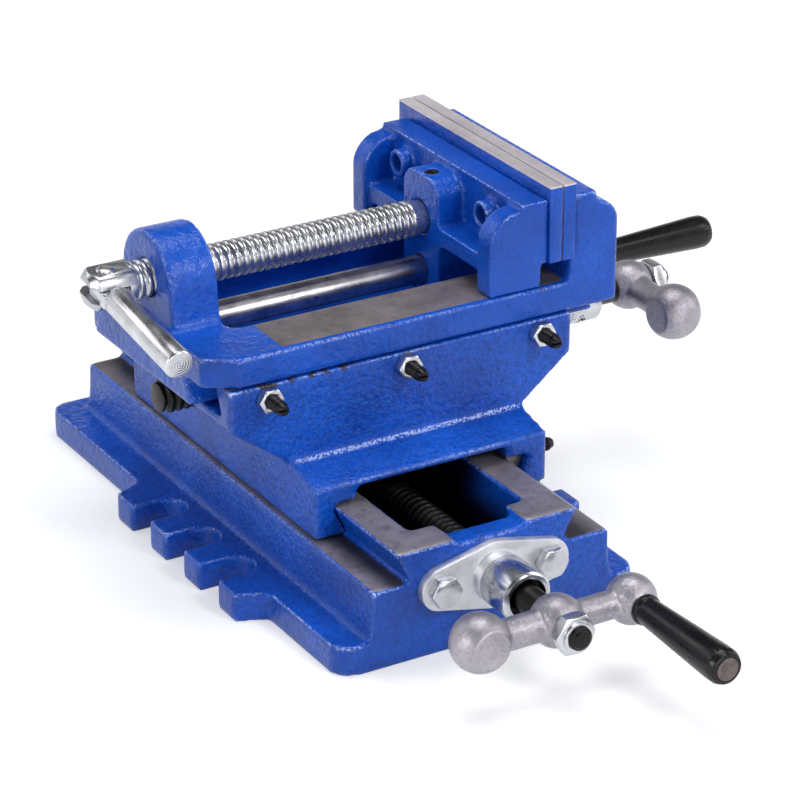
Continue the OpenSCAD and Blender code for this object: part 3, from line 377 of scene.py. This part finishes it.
# nuts and bolts: bright, cool and a little clouded
zincSteel = plainMetal("brightZincPlatedSteel", ("#d2d3d8", "#b6b7bd"), 0.3, 0.35, 0.006, blotMm=12)
# bearing plates: pale and matt
dullZinc = plainMetal("dullZincBearingPlate", ("#dedfe4", "#c4c5cb"), 0.46, 0.5, 0.02, 0.85, 6)
# clamp screw: bright crests over dark roots
threadSteel = plainMetal("zincPlatedScrewThread", ("#c6c7cc", "#a6a8ad"), 0.28, 0.35, 0.006, 0.92, 12)
# guide rod: drawn lengthwise, oiled, with drops of the castings' paint
polishedRod = plainMetal("oiledGuideRodSteel", ("#cfcbd0", "#8f8c92"), 0.33, 0.7, 0.02, blotMm=9,
                         stretch=(0.06, 1, 1), specks=0.9)
# socket screws: satin black
blackOxide = plainMetal("blackOxideSteel", ("#19181b", "#0d0c0e"), 0.38, 0.5, 0.02, 0.3, 8, 0.35)
# feed screws: black with oil and dirt
oilyBlack = plainMetal("oilyBlackFeedScrew", ("#121113", "#080809"), 0.36, 0.5, 0.02, 0.2, 8, 0.3)
# gib screws: black with a metal sheen on the crests
gibBlack = plainMetal("blackGibScrewSteel", ("#242226", "#121114"), 0.32, 0.5, 0.01, 0.6, 5, 0.45)
# feed nuts: yellow, dulled by oil
brassNut = plainMetal("machinedBrass", ("#b99b55", "#9a8046"), 0.32, 0.6, 0.02)
# grip spindles: brownish grey and uneven
rivetSteel = plainMetal("paintDulledRivetSteel", ("#756b69", "#4f4745"), 0.42, 0.9, 0.06, 0.8, 3)
# grips: smooth black plastic with a soft gloss
gripBlack = plainMetal("mouldedBlackGrip", ("#131216", "#0b0a0d"), 0.28, 1.6, 0.008, 0.0, 14, 0.3)
# dial figures: grey paint wiped into the engraving
engravedFill = plainMetal("engravedDialFigures", ("#66676d", "#55565c"), 0.5, 0.5, 0.005, 0.0)

crankSet = {"cloud": pattern(12), "grain": pattern(1.3, 3.0, 0.7), "tones": ("#b0acb4", "#97939c"),
            "pitColor": "#6d6871", "pitRange": (0.48, 0.3, 0.0, 0.5), "strength": 0.8, "deep": 0.3,
            "rough": (0.5, 0.36), "metal": 0.85, "voxel": 0.45, "relax": 6}


# castCrank: shot-blasted and plated iron casting, finely pitted, with a soft metal sheen
def pittedCasting(name, s):
    mat, add, coords = startMaterial(name)
    place = coords["Object"]
    cloud = add("TexNoise", {"Vector": place, **s["cloud"]})
    grain = add("TexNoise", {"Vector": place, **s["grain"]})
    light, dark = (linear(tone) for tone in s["tones"])
    color = add("Mix", {0: add("MapRange", (cloud, *spread)), 6: dark, 7: light}, **colorMix)
    pits = add("MapRange", (grain, *s["pitRange"]))
    color = add("Mix", {0: pits, 6: color, 7: linear(s["pitColor"])}, **colorMix)  # shadow in the pits
    rough = add("MapRange", (grain, *spread, *s["rough"]))
    normal = add("Bump", {"Height": grain, "Strength": s["strength"], "Distance": mm(s["deep"])})
    surface = add("BsdfPrincipled", {"Base Color": color, "Metallic": s["metal"], "Roughness": rough,
                                     "Normal": normal})
    add("OutputMaterial", (surface,), None)
    return mat


castCrank = pittedCasting("platedCrankCasting", crankSet)

foldAxis = joints["handle_fold"]["axis"]  # the bar lies square to it
barSet = {"pivot": jointAt("handle_fold"), "direction": (0, foldAxis[2], -foldAxis[1]), "ringMm": 0.9,
          "smear": pattern(7), "tones": ("#bdbec4", "#dcdde1"), "rough": (0.2, 0.32),
          "strength": 0.5, "deep": 0.06}


# turnedSteel: plain handle bar, bright, its end face left with lathe rings
def turnedBar(name, s):
    mat, add, coords = startMaterial(name)
    place = coords["Object"]
    arm = add("VectorMath", (place, mm(*s["pivot"])), operation="SUBTRACT")
    around = add("VectorMath", (arm, s["direction"]), operation="CROSS_PRODUCT")
    radius = add("VectorMath", (around,), "Value", operation="LENGTH")
    turns = add("Math", (radius, 2 * math.pi / mm(s["ringMm"])), operation="MULTIPLY")
    rings = add("Math", (turns,), operation="SINE")
    smear = add("TexNoise", {"Vector": place, **s["smear"]})
    dark, light = (linear(tone) for tone in s["tones"])
    color = add("Mix", {0: add("MapRange", (smear, *spread)), 6: dark, 7: light}, **colorMix)
    rough = add("MapRange", (smear, *spread, *s["rough"]))
    normal = add("Bump", {"Height": rings, "Strength": s["strength"], "Distance": mm(s["deep"])})
    surface = add("BsdfPrincipled", {"Base Color": color, "Metallic": 1.0, "Roughness": rough,
                                     "Normal": normal})
    add("OutputMaterial", (surface,), None)
    return mat


turnedSteel = turnedBar("turnedHandleSteel", barSet)

dials = {
    "lower": {"axis": 1, "centre": jointAt("lower_turn"), "start": -114.4, "out": -1},
    "upper": {"axis": 0, "centre": jointAt("upper_turn"), "start": 92.2, "out": 1},
}
dialSet = {"divisions": 60, "every": 5, "radius": 9.1, "markFrom": 8.6, "bore": 6.9,
           "short": (2.6, 0.0024), "long": (4.0, 0.0028),  # length in mm, half width as a share of a turn
           "smear": pattern(6), "tones": ("#b2b5bb", "#cfd2d6"), "markColor": "#6a6b71",
           "boreShadeAndOilColor": "#161518", "rough": (0.18, 0.28),
           "figure": 2.7, "figureAt": 7.2, "figureThick": 0.03, "figureSink": 0.01}


# dialChrome: bright plated dial with engraved graduations and a bore painted dark as shade and oil
def dialChrome(name, s):
    d = dialSet
    mat, add, coords = startMaterial(name)
    spot = add("SeparateXYZ", (coords["Object"],), None)
    across = [i for i in range(3) if i != s["axis"]]
    u, v = (add("Math", (spot[i], mm(s["centre"][i])), operation="SUBTRACT") for i in across)
    turn = add("Math", (v, u), operation="ARCTAN2")
    turn = add("Math", (turn, 2 * math.pi), operation="DIVIDE")
    squares = [add("Math", (w, w), operation="MULTIPLY") for w in (u, v)]
    radius = add("Math", squares, operation="ADD")
    radius = add("Math", (radius,), operation="SQRT")
    depth = add("Math", (spot[s["axis"]], mm(s["start"])), operation="SUBTRACT")
    depth = add("Math", (depth,), operation="ABSOLUTE")

    def lines(count, reach, width):
        cycle = add("Math", (turn, count), operation="MULTIPLY")
        cycle = add("Math", (cycle, 100.5), operation="ADD")  # keeps the count above zero
        cycle = add("Math", (cycle,), operation="FRACT")
        near = add("Math", (cycle, 0.5), operation="SUBTRACT")
        near = add("Math", (near,), operation="ABSOLUTE")
        thin = add("Math", (near, width * count), operation="LESS_THAN")
        ends = add("Math", (depth, mm(reach)), operation="LESS_THAN")
        return add("Math", (thin, ends), operation="MULTIPLY")

    every = lines(d["divisions"], *d["short"])
    fifth = lines(d["divisions"] / d["every"], *d["long"])
    marks = add("Math", (every, fifth), operation="MAXIMUM")
    outside = add("Math", (radius, mm(d["markFrom"])), operation="GREATER_THAN")
    marks = add("Math", (marks, outside), operation="MULTIPLY")
    bore = add("Math", (radius, mm(d["bore"])), operation="LESS_THAN")
    smear = add("TexNoise", {"Vector": coords["Object"], **d["smear"]})
    dark, light = (linear(tone) for tone in d["tones"])
    color = add("Mix", {0: add("MapRange", (smear, *spread)), 6: dark, 7: light}, **colorMix)
    color = add("Mix", {0: marks, 6: color, 7: linear(d["markColor"])}, **colorMix)
    # painted shade and oil: the bore is dark
    color = add("Mix", {0: bore, 6: color, 7: linear(d["boreShadeAndOilColor"])}, **colorMix)
    rough = add("MapRange", (smear, *spread, *d["rough"]))
    plated = add("Math", (1.0, marks), operation="SUBTRACT")
    surface = add("BsdfPrincipled", {"Base Color": color, "Metallic": plated, "Roughness": rough})
    add("OutputMaterial", (surface,), None)
    return mat


dialMetal = {side: dialChrome(side + "DialChrome", s) for side, s in dials.items()}
print("materials made")


# Castings get soft edges: the CAD copy is remeshed finely and relaxed a little
def casting(node, material, s):
    obj = cadCopy(node, node + "Casting")
    remesh = obj.modifiers.new("skin", "REMESH")
    remesh.mode = "VOXEL"
    remesh.voxel_size = mm(s["voxel"])
    relaxed = obj.modifiers.new("relax", "SMOOTH")
    relaxed.factor = 0.5
    relaxed.iterations = s["relax"]
    applyModifiers(obj)
    pick(obj)
    bpy.ops.object.shade_smooth()
    settle(obj, node, material)


castings = {  # tops are the boxes, in mm, in which faces that look up are ground bare
    "base": {"voxel": 1.15, "relax": 5, "along": (1, 0.04, 1), "tones": ("#726c70", "#a59ea6"),
             "pits": 0.5, "grit": 0.8, "scuff": 0.35,
             "tops": [((-60, -108, 28.0), (60, 105, 29.0)), ((-60, -108, 39.0), (60, 105, 40.4))],
             # painted shade in the trough, darker lower down and further back under the saddle
             "troughShade": {"clean": 39, "dark": 25, "near": -84, "far": -54,
                       "box": ((-23.9, -98, 11), (20, 91, 39.2))},
             # painted shade with oil on the ways next to the dovetail undercut
             "oilAndShade": {"clean": 42.5, "dark": 36, "below": 30}},
    "saddle": {"voxel": 1.05, "relax": 5, "along": (0.04, 1, 1), "tones": ("#726c70", "#a59ea6"),
               "pits": 0.6, "grit": 0.8, "scuff": 0.35,
               "tops": [((-70, -48.2, 80.4), (70, 60, 81.5))],
               # painted highlight along the concave fillet above the ledge
               "filletGlint": {"box": ((-70, -52.4, 50.0), (70, -50.5, 52.0)), "light": 0.7},
               "rust": {"box": ((-60, -52, 79.8), (-18, -47, 82))}},
    "vise_body": {"voxel": 1.05, "relax": 5, "along": (0.04, 1, 1), "tones": ("#6e6667", "#a0979a"),
                  "pits": 0.28, "grit": 0.55, "scuff": 0.3,
                  "tops": [((-44.5, -47.6, 91), (66, -24, 92.6)), ((-44.5, 24, 91), (66, 39.5, 92.6))]},
    "movable_jaw": {"voxel": 0.75, "relax": 5, "pits": 0.22, "grit": 0.45},
}
for node, s in castings.items():
    casting(node, blueEnamel("blueEnamel_" + node, s), s)
    print("casting", node)

for side in sides:
    casting(side + "_crank", castCrank, crankSet)


# Turned and small pieces keep the CAD shape, with a fine broken edge
def broken(node, material, edge):
    obj = cadCopy(node, node + "Piece")
    breakEdge(obj, edge)
    settle(obj, node, material)


small = {
    "guide_rod": (polishedRod, 0.3), "handle_pin": (zincSteel, 0.15), "clamp_handle": (turnedSteel, 0.25),
    "screw_retainer": (blackOxide, 0.2), "fixed_plate_screws": (blackOxide, 0.1),
    "movable_plate_screws": (blackOxide, 0.1),
}
pairs = {  # one on each slide
    "nut_screws": (blackOxide, 0.15), "feed_nut": (brassNut, 0.3), "dial_screw": (blackOxide, 0.1),
    "bearing_plate": (dullZinc, 0.4), "grip": (gripBlack, 0.3), "grip_spindle": (rivetSteel, 0.3),
    "gib_nuts": (zincSteel, 0.3), "plate_bolts": (zincSteel, 0.3), "crank_nut": (zincSteel, 0.3),
}
for side in sides:
    small[side + "_dial"] = (dialMetal[side], 0.2)
    small.update({side + "_" + part: look for part, look in pairs.items()})
for node, (material, edge) in small.items():
    broken(node, material, edge)
print("small pieces", len(small))

plateSet = {"along": (1, 0.05, 1), "wear": 0.0, "tones": ("#bbb3b9", "#ded7dd"), "edge": 0.35,
            "pits": 0.22, "grit": 0.45, "scuff": 0.1, "top": ((50, -60, 127.0), (75, 60, 130))}
plateFaces = {
    "fixed_jaw_plate": ((61.5, -49.7, 95), (62.9, 49.7, 130)),
    "movable_jaw_plate": ((61.4, -49.7, 95), (62.4, 49.7, 130)),
}
for node, face in plateFaces.items():
    paint = blueEnamel("blueEnamel_" + node, {**plateSet, "faces": [plateSet["top"], face]})
    broken(node, paint, plateSet["edge"])

gibSet = {"along": (1, 1, 1), "tones": ("#554f4e", "#827b7a"), "scuff": 0.35, "edge": 0.3}
for side in sides:
    node = side + "_gib"
    mat, add, coords = startMaterial("groundGib_" + node)
    add("OutputMaterial", (groundShader(add, coords["Object"], gibSet),), None)
    broken(node, mat, gibSet["edge"])
print("jaw plates and gibs made")

toothSet = {"corner": 0.15, "steps": 28, "weld": 0.005}


# The turns of a thread are welded and each open end is drawn in to one point
def closeEnds(obj):
    weld(obj, toothSet["weld"])
    editAll(obj)
    bpy.ops.mesh.select_mode(type="EDGE")
    bpy.ops.mesh.select_all(action="DESELECT")
    bpy.ops.mesh.select_non_manifold(extend=False, use_wire=False, use_boundary=True, use_multi_face=False,
                                     use_non_contiguous=False, use_verts=False)
    bpy.ops.mesh.extrude_edges_move()
    bpy.ops.mesh.merge(type="COLLAPSE")
    bpy.ops.mesh.select_mode(type="VERT")
    bpy.ops.mesh.select_all(action="SELECT")
    bpy.ops.mesh.normals_make_consistent(inside=False)
    leaveEdit()


# Threads: one tooth is drawn point by point and swept along the screw
def thread(name, axis, centre, start, turns, s):
    crest, root, corner = s["crest"], s["crest"] - s["depth"], s["crest"] - toothSet["corner"]
    points = [(0.0, root), (0.14, root), (0.3, corner), (0.4, crest),
              (0.72, crest), (0.82, corner), (0.96, root), (1.0, root)]  # share of the pitch, radius
    bpy.ops.object.select_all(action="DESELECT")
    bpy.ops.mesh.primitive_plane_add(size=mm(1))
    obj = bpy.context.active_object
    obj.name = name
    bpy.ops.object.mode_set(mode="EDIT")
    bpy.ops.mesh.select_all(action="SELECT")
    bpy.ops.mesh.merge(type="CENTER")
    last = None
    for share, radius in points:
        spot = onAxis(axis, mm(share * s["pitch"]))
        spot[(axis + 1) % 3] = mm(radius)
        if last is None:
            bpy.ops.transform.translate(value=spot)
        else:
            step = tuple(b - a for a, b in zip(last, spot))
            bpy.ops.mesh.extrude_region_move(TRANSFORM_OT_translate={"value": step})
        last = spot
    leaveEdit()
    sweep = obj.modifiers.new("sweep", "SCREW")
    sweep.axis = "XYZ"[axis]
    sweep.screw_offset = mm(s["pitch"])
    sweep.iterations = turns
    sweep.steps = toothSet["steps"]
    sweep.render_steps = toothSet["steps"]
    sweep.use_smooth_shade = True
    sweep.use_normal_calculate = True
    applyModifiers(obj)
    spot = list(mm(*centre))
    spot[axis] = mm(start)
    obj.location = spot
    bpy.ops.object.transform_apply(location=True)
    closeEnds(obj)
    return obj


def copyTo(obj, step):
    pick(obj)
    bpy.ops.object.duplicate()
    copy = bpy.context.active_object
    copy.location = mm(*step)
    bpy.ops.object.transform_apply(location=True)
    return copy


def cutCopy(node, name, axis, at, keepAbove, edge=0.35):
    obj = cadCopy(node, name)
    editAll(obj)
    bpy.ops.mesh.bisect(plane_co=onAxis(axis, mm(at)), plane_no=onAxis(axis, 1.0), use_fill=True,
                        clear_inner=keepAbove, clear_outer=not keepAbove)
    leaveEdit()
    breakEdge(obj, edge)
    return obj


def endCap(name, axis, centre, at, s):
    turn = {0: (0, math.pi / 2, 0), 1: (math.pi / 2, 0, 0)}[axis]
    spot = list(centre)
    spot[axis] = at
    bpy.ops.object.select_all(action="DESELECT")
    bpy.ops.mesh.primitive_cylinder_add(vertices=s["endSides"], radius=mm(s["endRadius"]),
                                        depth=mm(s["endThick"]), location=mm(*spot), rotation=turn)
    obj = bpy.context.active_object
    obj.name = name
    bpy.ops.object.transform_apply(location=True, rotation=True)
    breakEdge(obj, s["endEdge"])
    return obj


clampSet = {"axis": 0, "centre": jointAt("clamp_turn"), "fork": -75.8, "to": 30.9, "lap": 0.4,
            "turns": 36, "crest": 6.5, "pitch": 3, "depth": 1.0}
s = clampSet
start = s["to"] - s["turns"] * s["pitch"]
parts = [thread("clampThread", s["axis"], s["centre"], start, s["turns"], s),
         cutCopy("clamp_screw", "clampFork", s["axis"], s["fork"], False),
         cutCopy("clamp_screw", "clampNose", s["axis"], s["to"] - s["lap"], True)]
settle(joinAll(parts, "clampScrewThreaded"), "clamp_screw", threadSteel)

feedSet = {"crest": 6.0, "pitch": 3, "depth": 1.2, "lap": 0.4,
           "endRadius": 5.2, "endThick": 1.2, "endEdge": 0.4, "endSides": 48}
feedPlaces = {
    "lower_feed_screw": {"axis": 1, "centre": jointAt("lower_turn"), "from": -102.0, "to": 81.0,
                         "cut": -101.6, "headAbove": False},
    "upper_feed_screw": {"axis": 0, "centre": jointAt("upper_turn"), "from": -67.0, "to": 80.0,
                         "cut": 79.4, "headAbove": True},
}
for node, s in feedPlaces.items():
    axis, centre = s["axis"], s["centre"]
    turns = int((s["to"] - s["from"]) / feedSet["pitch"])
    tip = s["from"] + feedSet["lap"] if s["headAbove"] else s["to"] - feedSet["lap"]
    parts = [thread(node + "Thread", axis, centre, s["from"], turns, feedSet),
             cutCopy(node, node + "Head", axis, s["cut"], s["headAbove"]),
             endCap(node + "End", axis, centre, tip, feedSet)]
    settle(joinAll(parts, node + "Threaded"), node, oilyBlack)

# Gib screws: three in a row share the planes where their thread starts and ends
gibThread = {"turns": 8, "crest": 2.5, "pitch": 0.8, "depth": 0.45, "lap": 0.05, "edge": 0.12}
gibPlaces = {
    "upper_gib_screws": {"axis": 1, "from": -60.1, "first": (-52.0, 0, 76.475),
                         "others": [(52.5, 0, 0), (105.0, 0, 0)]},
    "lower_gib_screws": {"axis": 0, "from": 49.1, "first": (0, -52.0, 34.225),
                         "others": [(0, 52.0, 0), (0, 104.0, 0)]},
}
for node, s in gibPlaces.items():
    g = gibThread
    axis, low = s["axis"], s["from"]
    high = low + g["turns"] * g["pitch"]
    first = thread(node + "Thread", axis, s["first"], low, g["turns"], g)
    parts = [cutCopy(node, node + "Below", axis, low + g["lap"], False, g["edge"]),
             cutCopy(node, node + "Above", axis, high - g["lap"], True, g["edge"]), first]
    parts += [copyTo(first, step) for step in s["others"]]
    settle(joinAll(parts, node + "Threaded"), node, gibBlack)
print("threads made")


# Dial figures: plain numbers, one for every fifth division
def dialFigures(side, s):
    d = dialSet
    made = []
    steps = d["divisions"] // d["every"]
    for k in range(steps):
        angle = 2 * math.pi * k / steps
        bpy.ops.object.select_all(action="DESELECT")
        bpy.ops.object.text_add()
        figure = bpy.context.active_object
        figure.data.body = str(k * d["every"])
        figure.data.size = mm(d["figure"])
        figure.data.align_x = "CENTER"
        figure.data.extrude = mm(d["figureThick"])
        bpy.ops.object.convert(target="MESH")
        out = onAxis((s["axis"] + 1) % 3, math.cos(angle))
        out[(s["axis"] + 2) % 3] = math.sin(angle)
        out, top = Vector(out), Vector(onAxis(s["axis"], -s["out"]))
        turn = Matrix((top.cross(out), top, out)).transposed()
        spot = Vector(mm(*s["centre"])) + out * mm(d["radius"] - d["figureSink"])
        spot[s["axis"]] = mm(s["start"] + s["out"] * d["figureAt"])
        figure.rotation_euler = turn.to_euler()
        figure.location = spot
        bpy.ops.object.transform_apply(location=True, rotation=True)
        made.append(figure)
    figures = joinAll(made, side + "DialFigures")
    paintOver(figures, engravedFill)
    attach(figures, nodeBody[side + "_dial"])


for side, s in dials.items():
    dialFigures(side, s)
print("dial figures made")


def seenRays(add):
    path = add("LightPath", out=None)
    mirrored = add("Math", (path["Is Glossy Ray"], path["Is Transmission Ray"]), operation="MAXIMUM")
    return add("Math", (path["Is Camera Ray"], mirrored), operation="MAXIMUM")


# Stage: pale floor and even studio light
floorSet = {"size": 6.0, "color": "#d2d2d2", "rough": 0.9, "glow": 0.45}
bpy.ops.object.select_all(action="DESELECT")
bpy.ops.mesh.primitive_plane_add(size=floorSet["size"])
floor = bpy.context.active_object
floor.name = "studioFloor"
paper, add, coords = startMaterial("palePaper")  # matt backdrop paper, lit so that it stays white
matt = add("BsdfPrincipled", {"Base Color": linear(floorSet["color"]), "Roughness": floorSet["rough"],
                              "Specular IOR Level": 0.0})
glow = add("Math", (seenRays(add), floorSet["glow"]), operation="MULTIPLY")
glow = add("Emission", {"Strength": glow})
add("OutputMaterial", (add("AddShader", (matt, glow)),), None)
floor.data.materials.append(paper)

lightTarget = (0.02, -0.02, 0.06)
softboxes = {  # place and size in metres, watts
    "keyBox": ((0.35, -1.2, 0.95), (0.36, 0.32), 8),
    "topBox": ((0.1, 0.1, 1.3), (0.9, 0.6), 9),
    "rightBox": ((1.1, -0.5, 0.7), (0.5, 0.9), 5),
    "leftBox": ((-1.2, -0.2, 0.5), (0.4, 0.5), 5),
    "frontBox": ((-0.2, -1.4, 0.22), (0.9, 0.3), 3.5),
    "backBox": ((-0.8, 1.15, 0.95), (1.0, 0.6), 4),
}
for name, (place, size, power) in softboxes.items():
    data = bpy.data.lights.new(name, "AREA")
    data.shape = "RECTANGLE"
    data.size, data.size_y = size
    data.energy = power
    lamp = bpy.data.objects.new(name, data)
    bpy.context.scene.collection.objects.link(lamp)
    lamp.location = place
    aim = [t - p for t, p in zip(lightTarget, place)]
    flat = math.hypot(aim[0], aim[1])
    lamp.rotation_euler = (math.atan2(flat, -aim[2]), 0, math.atan2(aim[1], aim[0]) - math.pi / 2)

skySet = {"wallTop": 0.12, "ceilingFrom": 0.42, "wall": 1.0, "ceiling": 0.1,  # white walls, dim ceiling
          "seen": "#ffffff", "fill": "#dfe4ee", "fillStrength": 0.25}
world = bpy.data.worlds.new("studioWorld")
bpy.context.scene.world = world
world.use_nodes = True
world.node_tree.nodes.clear()
add = partial(addNode, world.node_tree)
lookUp = add("SeparateXYZ", (add("TexCoord", out="Generated"),), None)[2]
fade = add("MapRange", (lookUp, skySet["wallTop"], skySet["ceilingFrom"], skySet["wall"], skySet["ceiling"]))
plainSky = add("Background", {"Color": linear(skySet["seen"]), "Strength": fade})
dimSky = add("Background", {"Color": linear(skySet["fill"]), "Strength": skySet["fillStrength"]})
add("OutputWorld", (add("MixShader", (seenRays(add), dimSky, plainSky)),), None)

cameraSet = {"place": (-540.4, -964.3, 559.8), "down": 25.06, "aside": 30.51, "lens": 157.9, "sensor": 36}
camData = bpy.data.cameras.new("photoCamera")
camData.lens = cameraSet["lens"]
camData.sensor_width = cameraSet["sensor"]
camera = bpy.data.objects.new("photoCamera", camData)
bpy.context.scene.collection.objects.link(camera)
camera.location = mm(*cameraSet["place"])
camera.rotation_euler = (math.radians(90 - cameraSet["down"]), 0, math.radians(-cameraSet["aside"]))
bpy.context.scene.camera = camera
bpy.context.scene.view_settings.view_transform = "Standard"

print("scene ready")
